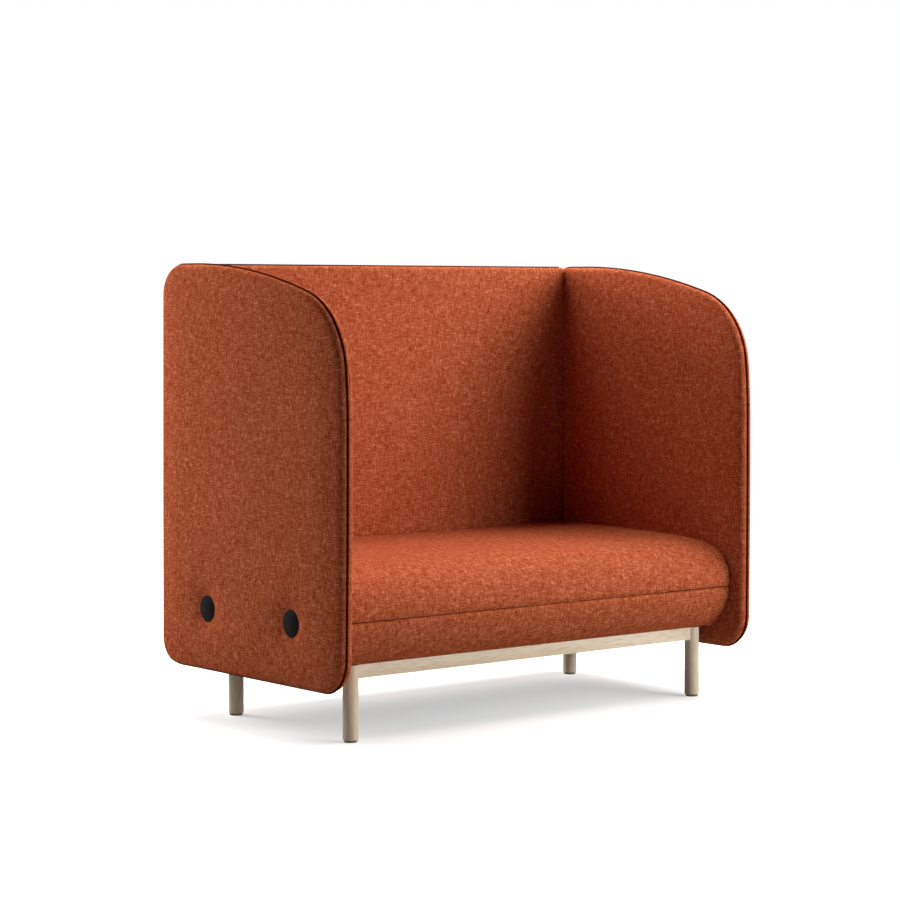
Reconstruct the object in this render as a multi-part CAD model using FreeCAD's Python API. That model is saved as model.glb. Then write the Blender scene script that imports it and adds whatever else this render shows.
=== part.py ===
import FreeCAD, Part
import math
import os

from FreeCAD import Vector

# High-back two-seat office sofa: padded wings and back, bolted to a padded seat on an ash base.
# Millimetres, +Z up. The sofa faces -Y and left is -X.
# The origin is on the floor, under the middle of the sofa's box.

# Overall sizes
SOFA_WIDTH = 1407.0
SOFA_DEPTH = 833.0
SOFA_HEIGHT = 1196.0

# Fits
CLEARANCE = 0.3
SLIDE_CLEARANCE = 0.15

# Padded panels: two wings and the back
PANEL_THICKNESS = 46.0
COVER_THICKNESS = 3.7
EDGE_FLAT = 3.0
BEAD_RADIUS = 2.5
GROOVE_WIDTH = 5.0
BOARD_THICKNESS = 12.0
BOARD_INSET = 16.0
TAPE_INSET = 5.0

# Outline of a wing, seen from its side: tangent arcs and the headings where they meet, in degrees below level
TOP_FLAT = 57.0
SHOULDER_RADIUS = 222.0
BROW_RADIUS = 1580.0
TOP_HEADING = 16.1
BROW_HEADING = 84.7
FRONT_HEADING = 90.9
BOTTOM_HEADING = 179.7
FRONT_FOOT_RADIUS = 93.0
REAR_FOOT_RADIUS = 70.0
REAR_TOP_RADIUS = 85.0
WING_BOTTOM = 132.0

# Back panel
BACK_SET_IN = 83.5
BACK_BOTTOM = 136.0

# Seat outline, seen from its end
SEAT_BOTTOM = 192.0
SEAT_HEIGHT = 438.0
SEAT_SET_BACK = 44.5
SEAM_DROP = 24.9
SEAM_GAP = 1.5
CROWN_SET_BACK = 164.0
CROWN_HEADING = 1.9
NOSE_HEADING = 12.1
NOSE_TOP_RADIUS = 714.0
NOSE_RADIUS = 88.5
NOSE_FLAT = 12.0
CHIN_HEADING = 143.0
KEEL_RADIUS = 17.0
SEAT_REAR_RADIUS = 17.0
SEAT_END_RADIUS = 15.0

# Seat frame
FRAME_MARGIN = 2.0
SEAT_PADDING = 102.0
FRAME_BOARD = 18.0
BOTTOM_BOARD = 15.0
BEAM_GAP = 30.0
STRAP_COUNT = 9
STRAP_WIDTH = 60.0
STRAP_THICKNESS = 2.5
STRAP_END_MARGIN = 45.0
DUST_COVER_THICKNESS = 1.2
DUST_COVER_MARGIN = 20.0
FRAME_SCREW_DIAMETER = 5.0
FRAME_SCREW_LENGTH = 50.0

# Ash base
LEG_DIAMETER = 40.0
LEG_SIDE_INSET = 119.5
LEG_FRONT_INSET = 125.5
LEG_REAR_INSET = 191.5
LEG_FOOT_CHAMFER = 2.0
RAIL_HEIGHT = 34.0
RAIL_THICKNESS = 24.0
TENON_THICKNESS = 12.0
TENON_HEIGHT = 22.0
TENON_FROM_AXIS = 8.0
BASE_SCREW_DIAMETER = 6.0
BASE_SCREW_HEAD = 12.0
BASE_SCREW_HEAD_HEIGHT = 4.0
BASE_SCREW_BITE = 12.0
BASE_SCREW_FROM_LEG = 130.0

# Levelling glides
GLIDE_EDGE_INSET = 3.0
GLIDE_HEIGHT = 5.0
GLIDE_EDGE = 1.2
GLIDE_STUD_LENGTH = 30.0
GLIDE_STUD_DIAMETER = 8.0
INSERT_DIAMETER = 11.0
INSERT_LENGTH = 25.0
INSERT_BORE_DEPTH = 45.0

# Wing buttons and their fixings
BUTTON_DIAMETER = 70.0
BUTTON_DROP = 42.5
BUTTON_FRONT_INSET = 220.5
BUTTON_REAR_INSET = 229.5
BUTTON_RIM = 3.0
BUTTON_DOME = 4.5
BUTTON_SINK = 8.0
BUTTON_HUB_DIAMETER = 22.0
BOLT_DIAMETER = 8.0
BOLT_END = 5.0
STUD_IN_BUTTON = 10.0
SPACER_DIAMETER = 16.0
T_NUT_FLANGE = 22.0
T_NUT_FLANGE_THICKNESS = 1.5
T_NUT_BARREL = 10.0
T_NUT_LENGTH = 9.0

# Back fixings
BACK_BOLT_COUNT = 4
BACK_BOLT_SPACING = 300.0
BOLT_HEAD_DIAMETER = 14.0
BOLT_HEAD_HEIGHT = 5.0
WASHER_DIAMETER = 20.0
WASHER_THICKNESS = 1.6
DOWEL_DIAMETER = 8.0
DOWEL_IN_BACK = 20.0
DOWEL_IN_WING = 5.0
DOWEL_TOP_INSET = 194.0
DOWEL_SPACING = 400.0


# Outlines are chains of straight runs and tangent arcs in the YZ plane
# A heading of 0 runs forward, 90 down, 180 back and 270 up.


def turn(radius, start, end):
    """How far an arc that turns from one heading to another moves along Y and Z."""
    a, b = math.radians(start), math.radians(end)
    return -radius * (math.sin(b) - math.sin(a)), radius * (math.cos(b) - math.cos(a))


# Places worked out from the sizes above
HALF_THICKNESS = PANEL_THICKNESS / 2
HALF_BOARD = BOARD_THICKNESS / 2
RIM_RADIUS = HALF_THICKNESS - GROOVE_WIDTH / 2 - BEAD_RADIUS - EDGE_FLAT
HALF_TAPE = GROOVE_WIDTH / 2 - CLEARANCE
WING_MID_X = SOFA_WIDTH / 2 - HALF_THICKNESS
WING_INNER_X = SOFA_WIDTH / 2 - PANEL_THICKNESS
BACK_FRONT_Y = SOFA_DEPTH / 2 - BACK_SET_IN
BACK_MID_Y = BACK_FRONT_Y + HALF_THICKNESS
BACK_HALF_WIDTH = WING_INNER_X - CLEARANCE
SEAT_FRONT_Y = SEAT_SET_BACK - SOFA_DEPTH / 2
SEAT_REAR_Y = BACK_FRONT_Y - CLEARANCE
SEAT_HALF_WIDTH = WING_INNER_X - CLEARANCE
NOSE_TOP = turn(NOSE_TOP_RADIUS, CROWN_HEADING, NOSE_HEADING)
NOSE = turn(NOSE_RADIUS, NOSE_HEADING, 90.0)
KEEL = turn(KEEL_RADIUS, CHIN_HEADING, 180.0)
CROWN_Y = SEAT_REAR_Y - CROWN_SET_BACK
CROWN_RADIUS = (CROWN_Y + NOSE_TOP[0] + NOSE[0] - SEAT_FRONT_Y) / math.sin(math.radians(CROWN_HEADING))
NOSE_Z = SEAT_HEIGHT + turn(CROWN_RADIUS, 0.0, CROWN_HEADING)[1] + NOSE_TOP[1] + NOSE[1]
SEAM_HEIGHT = NOSE_Z - SEAM_DROP
CHIN_DROP = NOSE_Z - NOSE_FLAT + KEEL[1] - SEAT_BOTTOM
CHIN_RADIUS = CHIN_DROP / -math.cos(math.radians(CHIN_HEADING))
KEEL_Y = SEAT_FRONT_Y + turn(CHIN_RADIUS, 90.0, CHIN_HEADING)[0] + KEEL[0]
FRAME_FRONT_Y = KEEL_Y + FRAME_MARGIN
FRAME_REAR_Y = SEAT_REAR_Y - SEAT_REAR_RADIUS - FRAME_MARGIN
FRAME_HALF_WIDTH = SEAT_HALF_WIDTH - SEAT_END_RADIUS - FRAME_MARGIN
FRAME_BOTTOM = SEAT_BOTTOM + COVER_THICKNESS + CLEARANCE
FRAME_FLOOR = FRAME_BOTTOM + BOTTOM_BOARD
FRAME_TOP = SEAT_HEIGHT - SEAT_PADDING
BEAM_TOP = FRAME_TOP - BEAM_GAP
STRAP_TOP = FRAME_TOP + STRAP_THICKNESS
LEG_X = SOFA_WIDTH / 2 - LEG_SIDE_INSET
LEG_FRONT_Y = LEG_FRONT_INSET - SOFA_DEPTH / 2
LEG_REAR_Y = SOFA_DEPTH / 2 - LEG_REAR_INSET
RAIL_BOTTOM = SEAT_BOTTOM - RAIL_HEIGHT
GLIDE_DIAMETER = LEG_DIAMETER - 2 * GLIDE_EDGE_INSET
BUTTON_HEIGHT = FRAME_TOP - BUTTON_DROP
BUTTON_YS = (BUTTON_FRONT_INSET - SOFA_DEPTH / 2, SOFA_DEPTH / 2 - BUTTON_REAR_INSET)
DOWEL_HEIGHTS = (SOFA_HEIGHT - DOWEL_TOP_INSET - DOWEL_SPACING, SOFA_HEIGHT - DOWEL_TOP_INSET)
BACK_BOLT_HEIGHT = (FRAME_FLOOR + FRAME_TOP) / 2
BACK_BOLT_XS = [(i - (BACK_BOLT_COUNT - 1) / 2) * BACK_BOLT_SPACING for i in range(BACK_BOLT_COUNT)]

AXES = {"x": Vector(1, 0, 0), "y": Vector(0, 1, 0), "z": Vector(0, 0, 1)}
ORIGIN = Vector(0, 0, 0)


# Plain solids


def box(x0, x1, y0, y1, z0, z1):
    return Part.makeBox(x1 - x0, y1 - y0, z1 - z0, Vector(x0, y0, z0))


def rod(axis, diameter, start, length):
    """Cylinder from the point start along the named axis."""
    return Part.makeCylinder(diameter / 2, length, Vector(*start), AXES[axis])


def tube(axis, outer, inner, start, length):
    return rod(axis, outer, start, length).cut(rod(axis, inner, start, length))


def group(solids):
    return Part.makeCompound(solids)


def edges_at_x(shape, x):
    """Edges that lie in the plane at x."""
    found = []
    for edge in shape.Edges:
        bounds = edge.BoundBox
        if abs(bounds.XMin - x) < 1e-3 and abs(bounds.XMax - x) < 1e-3:
            found.append(edge)
    return found


def round_at_x(shape, radius, x):
    return shape.makeFillet(radius, edges_at_x(shape, x))


# Outlines


def chain_face(start, steps, inset, x):
    """Face inside a closed chain of (length, None) runs and (radius, heading) arcs, drawn in by inset."""
    y, z = start[0], start[1] - inset
    heading = 0.0
    edges = []
    for size, end in steps:
        here = Vector(x, y, z)
        if end is None:
            y -= size * math.cos(math.radians(heading))
            z -= size * math.sin(math.radians(heading))
            edges.append(Part.makeLine(here, Vector(x, y, z)))
            continue
        middle = turn(size - inset, heading, (heading + end) / 2)
        move = turn(size - inset, heading, end)
        waypoint = Vector(x, y + middle[0], z + middle[1])
        y += move[0]
        z += move[1]
        edges.append(Part.Arc(here, waypoint, Vector(x, y, z)).toShape())
        heading = end
    return Part.Face(Part.Wire(edges))


def wing_steps():
    """Start point and steps of the wing's outline, from the top edge forward and round."""
    shoulder = turn(SHOULDER_RADIUS, TOP_HEADING, BROW_HEADING)
    brow = turn(BROW_RADIUS, BROW_HEADING, 90.0)
    reach = SOFA_DEPTH - REAR_TOP_RADIUS - TOP_FLAT + shoulder[0] + brow[0]
    top_radius = reach / math.sin(math.radians(TOP_HEADING))
    front_z = SOFA_HEIGHT + turn(top_radius, 0.0, TOP_HEADING)[1] + shoulder[1] + brow[1]
    front_foot = turn(FRONT_FOOT_RADIUS, FRONT_HEADING, BOTTOM_HEADING)
    front_drop = front_z + front_foot[1] - WING_BOTTOM
    front_radius = front_drop / -math.cos(math.radians(FRONT_HEADING))
    foot_y = -SOFA_DEPTH / 2 + turn(front_radius, 90.0, FRONT_HEADING)[0] + front_foot[0]
    rear_foot = turn(REAR_FOOT_RADIUS, BOTTOM_HEADING, 270.0)
    bottom_run = (SOFA_DEPTH / 2 - rear_foot[0] - foot_y) / -math.cos(math.radians(BOTTOM_HEADING))
    rear_z = WING_BOTTOM - bottom_run * math.sin(math.radians(BOTTOM_HEADING)) + rear_foot[1]
    steps = [
        (TOP_FLAT, None),
        (top_radius, TOP_HEADING),
        (SHOULDER_RADIUS, BROW_HEADING),
        (BROW_RADIUS, 90.0),
        (front_radius, FRONT_HEADING),
        (FRONT_FOOT_RADIUS, BOTTOM_HEADING),
        (bottom_run, None),
        (REAR_FOOT_RADIUS, 270.0),
        (SOFA_HEIGHT - REAR_TOP_RADIUS - rear_z, None),
        (REAR_TOP_RADIUS, 360.0),
    ]
    return (SOFA_DEPTH / 2 - REAR_TOP_RADIUS, SOFA_HEIGHT), steps


def wing_outline(inset, x):
    start, steps = wing_steps()
    return chain_face(start, steps, inset, x)


def back_outline(inset, x):
    """The back is a rectangle, drawn in the same plane as a wing and turned into place later."""
    half = BACK_HALF_WIDTH - inset
    low, high = BACK_BOTTOM + inset, SOFA_HEIGHT - inset
    corners = [Vector(x, -half, low), Vector(x, half, low), Vector(x, half, high), Vector(x, -half, high)]
    return Part.Face(Part.makePolygon(corners + corners[:1]))


def seat_outline(inset, x):
    """The seat's outline from its crown forward over the nose, back along the keel and up the rear."""
    lean_sine = (CROWN_SET_BACK - SEAT_REAR_RADIUS) / (CROWN_RADIUS - SEAT_REAR_RADIUS)
    rear_lean = math.degrees(math.asin(lean_sine))
    rear_crown = turn(CROWN_RADIUS, 360.0 - rear_lean, 360.0)
    rear_top = turn(SEAT_REAR_RADIUS, 270.0, 360.0 - rear_lean)
    rear_run = SEAT_HEIGHT - rear_crown[1] - rear_top[1] - SEAT_BOTTOM - SEAT_REAR_RADIUS
    steps = [
        (CROWN_RADIUS, CROWN_HEADING),
        (NOSE_TOP_RADIUS, NOSE_HEADING),
        (NOSE_RADIUS, 90.0),
        (NOSE_FLAT, None),
        (CHIN_RADIUS, CHIN_HEADING),
        (KEEL_RADIUS, 180.0),
        (SEAT_REAR_Y - SEAT_REAR_RADIUS - KEEL_Y, None),
        (SEAT_REAR_RADIUS, 270.0),
        (rear_run, None),
        (SEAT_REAR_RADIUS, 360.0 - rear_lean),
        (CROWN_RADIUS, 360.0),
    ]
    return chain_face((CROWN_Y, SEAT_HEIGHT), steps, inset, x)


def slab(outline, inset, low, high):
    """Solid of an outline between two planes across X."""
    return outline(inset, low).extrude(Vector(high - low, 0, 0))


# Layers of a padded panel, for the half on the +X side of its middle plane


def panel_board(outline):
    return slab(outline, BOARD_INSET, -HALF_BOARD, HALF_BOARD)


def panel_cover(outline):
    outer = slab(outline, 0.0, GROOVE_WIDTH / 2, HALF_THICKNESS)
    outer = round_at_x(outer, RIM_RADIUS, HALF_THICKNESS)
    outer = round_at_x(outer, BEAD_RADIUS, GROOVE_WIDTH / 2)
    face = HALF_THICKNESS - COVER_THICKNESS
    cavity = slab(outline, COVER_THICKNESS, 0.0, face)
    return outer.cut(round_at_x(cavity, RIM_RADIUS - COVER_THICKNESS, face))


def panel_foam(outline):
    skin = COVER_THICKNESS + CLEARANCE
    face = HALF_THICKNESS - skin
    outer = slab(outline, skin, GROOVE_WIDTH / 2, face)
    outer = round_at_x(outer, RIM_RADIUS - skin, face)
    return outer.cut(slab(outline, BOARD_INSET - CLEARANCE, 0.0, HALF_BOARD + CLEARANCE))


def panel_tape(outline):
    """Tape at the bottom of the groove, all round the board."""
    outer = slab(outline, TAPE_INSET, -HALF_TAPE, HALF_TAPE)
    return outer.cut(slab(outline, BOARD_INSET - CLEARANCE, -HALF_TAPE, HALF_TAPE))


def other_half(shape):
    return shape.mirror(ORIGIN, AXES["x"])


# Wings: made for the right side about a middle plane at X = 0, then moved out or mirrored


def wing_bores(diameter):
    """Bores through the whole wing on the axes of its two studs."""
    start = -HALF_THICKNESS
    return group([rod("x", diameter, (start, y, BUTTON_HEIGHT), PANEL_THICKNESS) for y in BUTTON_YS])


def button_wells():
    """Round wells in the outer padding, where the buttons sit."""
    floor = HALF_THICKNESS - BUTTON_SINK - CLEARANCE
    diameter = BUTTON_DIAMETER + 2 * CLEARANCE
    return group([rod("x", diameter, (floor, y, BUTTON_HEIGHT), PANEL_THICKNESS) for y in BUTTON_YS])


def wing_dowel_bores(clearance):
    depth = HALF_BOARD - DOWEL_IN_WING
    start = -HALF_THICKNESS
    diameter = DOWEL_DIAMETER + 2 * clearance
    return group([rod("x", diameter, (start, BACK_MID_Y, z), -depth - start) for z in DOWEL_HEIGHTS])


def wing_pieces():
    stud_bores = wing_bores(BOLT_DIAMETER + 2 * SLIDE_CLEARANCE)
    hub_bores = wing_bores(BUTTON_HUB_DIAMETER + 2 * CLEARANCE)
    spacer_bores = wing_bores(SPACER_DIAMETER + 2 * CLEARANCE)
    soft_dowel_bores = wing_dowel_bores(CLEARANCE)
    return {
        "board": panel_board(wing_outline).cut(stud_bores).cut(wing_dowel_bores(SLIDE_CLEARANCE)),
        "outer_foam": panel_foam(wing_outline).cut(hub_bores).cut(button_wells()),
        "inner_foam": other_half(panel_foam(wing_outline)).cut(spacer_bores).cut(soft_dowel_bores),
        "outer_cover": panel_cover(wing_outline).cut(button_wells()),
        "inner_cover": other_half(panel_cover(wing_outline)).cut(spacer_bores).cut(soft_dowel_bores),
        "seam_tape": panel_tape(wing_outline),
    }


def wing_button(y):
    """Domed button on a hub that stands on the wing board, with a blind hole for its stud."""
    floor = HALF_THICKNESS - BUTTON_SINK
    rim = rod("x", BUTTON_DIAMETER, (floor, y, BUTTON_HEIGHT), BUTTON_RIM)
    radius = BUTTON_DIAMETER / 2
    ball_radius = (radius**2 + BUTTON_DOME**2) / (2 * BUTTON_DOME)
    dome_base = floor + BUTTON_RIM
    ball = Part.makeSphere(ball_radius, Vector(dome_base + BUTTON_DOME - ball_radius, y, BUTTON_HEIGHT))
    dome = ball.common(rod("x", BUTTON_DIAMETER, (dome_base, y, BUTTON_HEIGHT), 2 * BUTTON_DOME))
    hub = rod("x", BUTTON_HUB_DIAMETER, (HALF_BOARD, y, BUTTON_HEIGHT), floor - HALF_BOARD)
    bore = rod("x", BOLT_DIAMETER, (HALF_BOARD, y, BUTTON_HEIGHT), STUD_IN_BUTTON)
    return rim.fuse([dome, hub]).cut(bore).removeSplitter()


# The fixings below are placed on the right side of the sofa, then mirrored to the left


def wing_stud(y):
    outer_x = WING_MID_X + HALF_BOARD + STUD_IN_BUTTON
    inner_x = FRAME_HALF_WIDTH - FRAME_BOARD - BOLT_END
    return rod("x", BOLT_DIAMETER, (inner_x, y, BUTTON_HEIGHT), outer_x - inner_x)


def wing_spacer(y):
    length = WING_MID_X - HALF_BOARD - FRAME_HALF_WIDTH
    bore = BOLT_DIAMETER + 2 * SLIDE_CLEARANCE
    return tube("x", SPACER_DIAMETER, bore, (FRAME_HALF_WIDTH, y, BUTTON_HEIGHT), length)


def wing_t_nut(y):
    """Flange on the inner face of the seat's end board, with a barrel pressed into the board."""
    face = FRAME_HALF_WIDTH - FRAME_BOARD
    flange = rod("x", T_NUT_FLANGE, (face - T_NUT_FLANGE_THICKNESS, y, BUTTON_HEIGHT), T_NUT_FLANGE_THICKNESS)
    barrel = rod("x", T_NUT_BARREL, (face, y, BUTTON_HEIGHT), T_NUT_LENGTH)
    bore = rod("x", BOLT_DIAMETER, (face - T_NUT_FLANGE_THICKNESS, y, BUTTON_HEIGHT), FRAME_BOARD)
    return flange.fuse(barrel).cut(bore)


# Back panel and its fixings


def into_place(shape):
    """Turn a panel that was made like a wing so that its +X side becomes the rear of the back."""
    turned = shape.copy()
    turned.rotate(ORIGIN, AXES["z"], 90)
    turned.translate(Vector(0, BACK_MID_Y, 0))
    return turned


def back_bores(diameter):
    """Bores through the whole back panel on the axes of its bolts."""
    front = BACK_MID_Y - HALF_THICKNESS
    return group([rod("y", diameter, (x, front, BACK_BOLT_HEIGHT), PANEL_THICKNESS) for x in BACK_BOLT_XS])


def corner_dowels(diameter):
    """Dowels that join the ends of the back board to the wing boards."""
    inner = BACK_HALF_WIDTH - BOARD_INSET - DOWEL_IN_BACK
    outer = WING_MID_X - HALF_BOARD + DOWEL_IN_WING
    right = [rod("x", diameter, (inner, BACK_MID_Y, z), outer - inner) for z in DOWEL_HEIGHTS]
    return group(right + [dowel.mirror(ORIGIN, AXES["x"]) for dowel in right])


def back_tapes():
    """Tape in the groove along the top and the bottom edge only."""
    ring = into_place(panel_tape(back_outline))
    width = BACK_HALF_WIDTH - BOARD_INSET
    middle = box(-SOFA_WIDTH, SOFA_WIDTH, 0, SOFA_DEPTH, BACK_BOTTOM + BOARD_INSET, SOFA_HEIGHT - BOARD_INSET)
    between = box(-width, width, 0, SOFA_DEPTH, 0, 2 * SOFA_HEIGHT)
    return ring.cut(middle).common(between)


def back_pieces():
    bolt_bores = back_bores(BOLT_DIAMETER + 2 * SLIDE_CLEARANCE)
    barrel_bores = group([t_nut_seat(x) for x in BACK_BOLT_XS])
    spacer_bores = back_bores(SPACER_DIAMETER + 2 * CLEARANCE)
    flange_wells = group([back_flange_well(x) for x in BACK_BOLT_XS])
    dowel_bores = corner_dowels(DOWEL_DIAMETER + 2 * SLIDE_CLEARANCE)
    soft_dowel_bores = corner_dowels(DOWEL_DIAMETER + 2 * CLEARANCE)
    front_foam = into_place(other_half(panel_foam(back_outline)))
    front_cover = into_place(other_half(panel_cover(back_outline)))
    return {
        "board": into_place(panel_board(back_outline)).cut(bolt_bores).cut(barrel_bores).cut(dowel_bores),
        "front_foam": front_foam.cut(spacer_bores).cut(soft_dowel_bores),
        "rear_foam": into_place(panel_foam(back_outline)).cut(flange_wells).cut(soft_dowel_bores),
        "front_cover": front_cover.cut(spacer_bores).cut(soft_dowel_bores),
        "rear_cover": into_place(panel_cover(back_outline)).cut(soft_dowel_bores),
        "seam_tapes": back_tapes(),
    }


def back_bolt(x):
    head_y = FRAME_REAR_Y - FRAME_BOARD - WASHER_THICKNESS
    end_y = BACK_MID_Y + HALF_BOARD + T_NUT_FLANGE_THICKNESS
    head = rod("y", BOLT_HEAD_DIAMETER, (x, head_y - BOLT_HEAD_HEIGHT, BACK_BOLT_HEIGHT), BOLT_HEAD_HEIGHT)
    return head.fuse(rod("y", BOLT_DIAMETER, (x, head_y, BACK_BOLT_HEIGHT), end_y - head_y))


def back_washer(x):
    bore = BOLT_DIAMETER + 2 * SLIDE_CLEARANCE
    start = (x, FRAME_REAR_Y - FRAME_BOARD - WASHER_THICKNESS, BACK_BOLT_HEIGHT)
    return tube("y", WASHER_DIAMETER, bore, start, WASHER_THICKNESS)


def back_spacer(x):
    bore = BOLT_DIAMETER + 2 * SLIDE_CLEARANCE
    length = BACK_MID_Y - HALF_BOARD - FRAME_REAR_Y
    return tube("y", SPACER_DIAMETER, bore, (x, FRAME_REAR_Y, BACK_BOLT_HEIGHT), length)


def t_nut_seat(x):
    """Room for a T-nut's barrel in the back board, from its rear face."""
    face = BACK_MID_Y + HALF_BOARD
    return rod("y", T_NUT_BARREL, (x, face - T_NUT_LENGTH, BACK_BOLT_HEIGHT), T_NUT_LENGTH)


def back_flange_well(x):
    """Room for a T-nut's flange in the foam behind the back board."""
    depth = T_NUT_FLANGE_THICKNESS + CLEARANCE
    start = (x, BACK_MID_Y + HALF_BOARD, BACK_BOLT_HEIGHT)
    return rod("y", T_NUT_FLANGE + 2 * CLEARANCE, start, depth)


def back_t_nut(x):
    face = BACK_MID_Y + HALF_BOARD
    flange = rod("y", T_NUT_FLANGE, (x, face, BACK_BOLT_HEIGHT), T_NUT_FLANGE_THICKNESS)
    bore = rod("y", BOLT_DIAMETER, (x, face - T_NUT_LENGTH, BACK_BOLT_HEIGHT), BOARD_THICKNESS)
    return t_nut_seat(x).fuse(flange).cut(bore)


# Seat


def seat_form(inset):
    """The padded seat as one solid, with rounded ends, drawn in by inset."""
    half = SEAT_HALF_WIDTH - inset
    form = slab(seat_outline, inset, -half, half)
    radius = SEAT_END_RADIUS - inset
    return form.makeFillet(radius, edges_at_x(form, -half) + edges_at_x(form, half))


def frame_space(margin):
    """Everything that the seat frame and its straps take up, with a margin round it."""
    return box(
        -FRAME_HALF_WIDTH - margin,
        FRAME_HALF_WIDTH + margin,
        FRAME_FRONT_Y - margin,
        FRAME_REAR_Y + margin,
        SEAT_BOTTOM - margin,
        STRAP_TOP + margin,
    )


def wing_fixing_bores(diameter):
    """Bores across the whole seat on the axes of the wing studs."""
    start = -SEAT_HALF_WIDTH
    return group([rod("x", diameter, (start, y, BUTTON_HEIGHT), 2 * SEAT_HALF_WIDTH) for y in BUTTON_YS])


def back_fixing_bores(diameter):
    """Bores through the rear of the seat on the axes of the back bolts."""
    start_y = FRAME_REAR_Y - FRAME_BOARD
    length = SEAT_REAR_Y - start_y
    return group([rod("y", diameter, (x, start_y, BACK_BOLT_HEIGHT), length) for x in BACK_BOLT_XS])


def dust_cover_space(margin):
    """Opening in the lower cover, inside the four rails."""
    side = LEG_X - RAIL_THICKNESS / 2 - DUST_COVER_MARGIN - margin
    front = LEG_FRONT_Y + RAIL_THICKNESS / 2 + DUST_COVER_MARGIN + margin
    rear = LEG_REAR_Y - RAIL_THICKNESS / 2 - DUST_COVER_MARGIN - margin
    top = SEAT_BOTTOM + COVER_THICKNESS
    return box(-side, side, front, rear, top - DUST_COVER_THICKNESS, top)


def seat_covers():
    """Upper and lower cover, cut apart at the seam."""
    shell = seat_form(0.0).cut(seat_form(COVER_THICKNESS))
    spacer_bore = SPACER_DIAMETER + 2 * CLEARANCE
    shell = shell.cut(wing_fixing_bores(spacer_bore)).cut(back_fixing_bores(spacer_bore))
    above = box(-SOFA_WIDTH, SOFA_WIDTH, -SOFA_DEPTH, SOFA_DEPTH, SEAM_HEIGHT + SEAM_GAP / 2, SOFA_HEIGHT)
    below = box(-SOFA_WIDTH, SOFA_WIDTH, -SOFA_DEPTH, SOFA_DEPTH, 0, SEAM_HEIGHT - SEAM_GAP / 2)
    opening = dust_cover_space(0.0)
    bounds = opening.BoundBox
    through = box(bounds.XMin, bounds.XMax, bounds.YMin, bounds.YMax, 0, bounds.ZMax + CLEARANCE)
    lower = shell.common(below).cut(through).cut(base_screw_bores(BASE_SCREW_DIAMETER + 2 * CLEARANCE))
    return shell.common(above), lower


def seat_foam():
    spacer_bore = SPACER_DIAMETER + 2 * CLEARANCE
    foam = seat_form(COVER_THICKNESS + CLEARANCE).cut(frame_space(CLEARANCE))
    return foam.cut(wing_fixing_bores(spacer_bore)).cut(back_fixing_bores(spacer_bore))


def frame_screws(diameter):
    """Screws through the front and rear boards into the end boards and the beam, two at each joint."""
    xs = (-FRAME_HALF_WIDTH + FRAME_BOARD / 2, 0.0, FRAME_HALF_WIDTH - FRAME_BOARD / 2)
    screws = []
    for x in xs:
        top = BEAM_TOP if x == 0.0 else FRAME_TOP
        quarter = (top - FRAME_FLOOR) / 4
        for z in (FRAME_FLOOR + quarter, top - quarter):
            screws.append(rod("y", diameter, (x, FRAME_FRONT_Y, z), FRAME_SCREW_LENGTH))
            screws.append(rod("y", diameter, (x, FRAME_REAR_Y - FRAME_SCREW_LENGTH, z), FRAME_SCREW_LENGTH))
    return group(screws)


def seat_frame():
    inner_front = FRAME_FRONT_Y + FRAME_BOARD
    inner_rear = FRAME_REAR_Y - FRAME_BOARD
    half = FRAME_HALF_WIDTH
    bottom = box(-half, half, FRAME_FRONT_Y, FRAME_REAR_Y, FRAME_BOTTOM, FRAME_FLOOR)
    front = box(-half, half, FRAME_FRONT_Y, inner_front, FRAME_FLOOR, FRAME_TOP)
    rear = box(-half, half, inner_rear, FRAME_REAR_Y, FRAME_FLOOR, FRAME_TOP)
    end_face = half - FRAME_BOARD
    end = box(end_face, half, inner_front, inner_rear, FRAME_FLOOR, FRAME_TOP)
    beam = box(-FRAME_BOARD / 2, FRAME_BOARD / 2, inner_front, inner_rear, FRAME_FLOOR, BEAM_TOP)
    screws = frame_screws(FRAME_SCREW_DIAMETER)
    bolt_bore = BOLT_DIAMETER + 2 * SLIDE_CLEARANCE
    barrels = [rod("x", T_NUT_BARREL, (end_face, y, BUTTON_HEIGHT), T_NUT_LENGTH) for y in BUTTON_YS]
    right_end = end.cut(group(barrels)).cut(wing_fixing_bores(bolt_bore)).cut(screws)
    return {
        "bottom_board": bottom.cut(base_screw_bores(BASE_SCREW_DIAMETER)),
        "front_board": front.cut(screws),
        "rear_board": rear.cut(back_fixing_bores(bolt_bore)).cut(screws),
        "left_end_board": right_end.mirror(ORIGIN, AXES["x"]),
        "right_end_board": right_end,
        "centre_beam": beam.cut(screws),
    }


def webbing_straps():
    """Flat straps from the front board to the rear board."""
    first = -FRAME_HALF_WIDTH + STRAP_END_MARGIN
    pitch = (2 * (FRAME_HALF_WIDTH - STRAP_END_MARGIN) - STRAP_WIDTH) / (STRAP_COUNT - 1)
    straps = []
    for i in range(STRAP_COUNT):
        x = first + i * pitch
        straps.append(box(x, x + STRAP_WIDTH, FRAME_FRONT_Y, FRAME_REAR_Y, FRAME_TOP, STRAP_TOP))
    return group(straps)


# Ash base


def leg(x, y):
    """Round leg with mortises for two rails and a bore for the glide's insert."""
    body = rod("z", LEG_DIAMETER, (x, y, GLIDE_HEIGHT), SEAT_BOTTOM - GLIDE_HEIGHT)
    foot = [edge for edge in body.Edges if abs(edge.BoundBox.ZMax - GLIDE_HEIGHT) < 1e-3]
    body = body.makeChamfer(LEG_FOOT_CHAMFER, foot)
    insert = rod("z", INSERT_DIAMETER, (x, y, GLIDE_HEIGHT), INSERT_LENGTH)
    bore = rod("z", GLIDE_STUD_DIAMETER + 2 * SLIDE_CLEARANCE, (x, y, GLIDE_HEIGHT), INSERT_BORE_DEPTH)
    return body.cut(insert).cut(bore).cut(group(tenons(SLIDE_CLEARANCE)))


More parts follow.
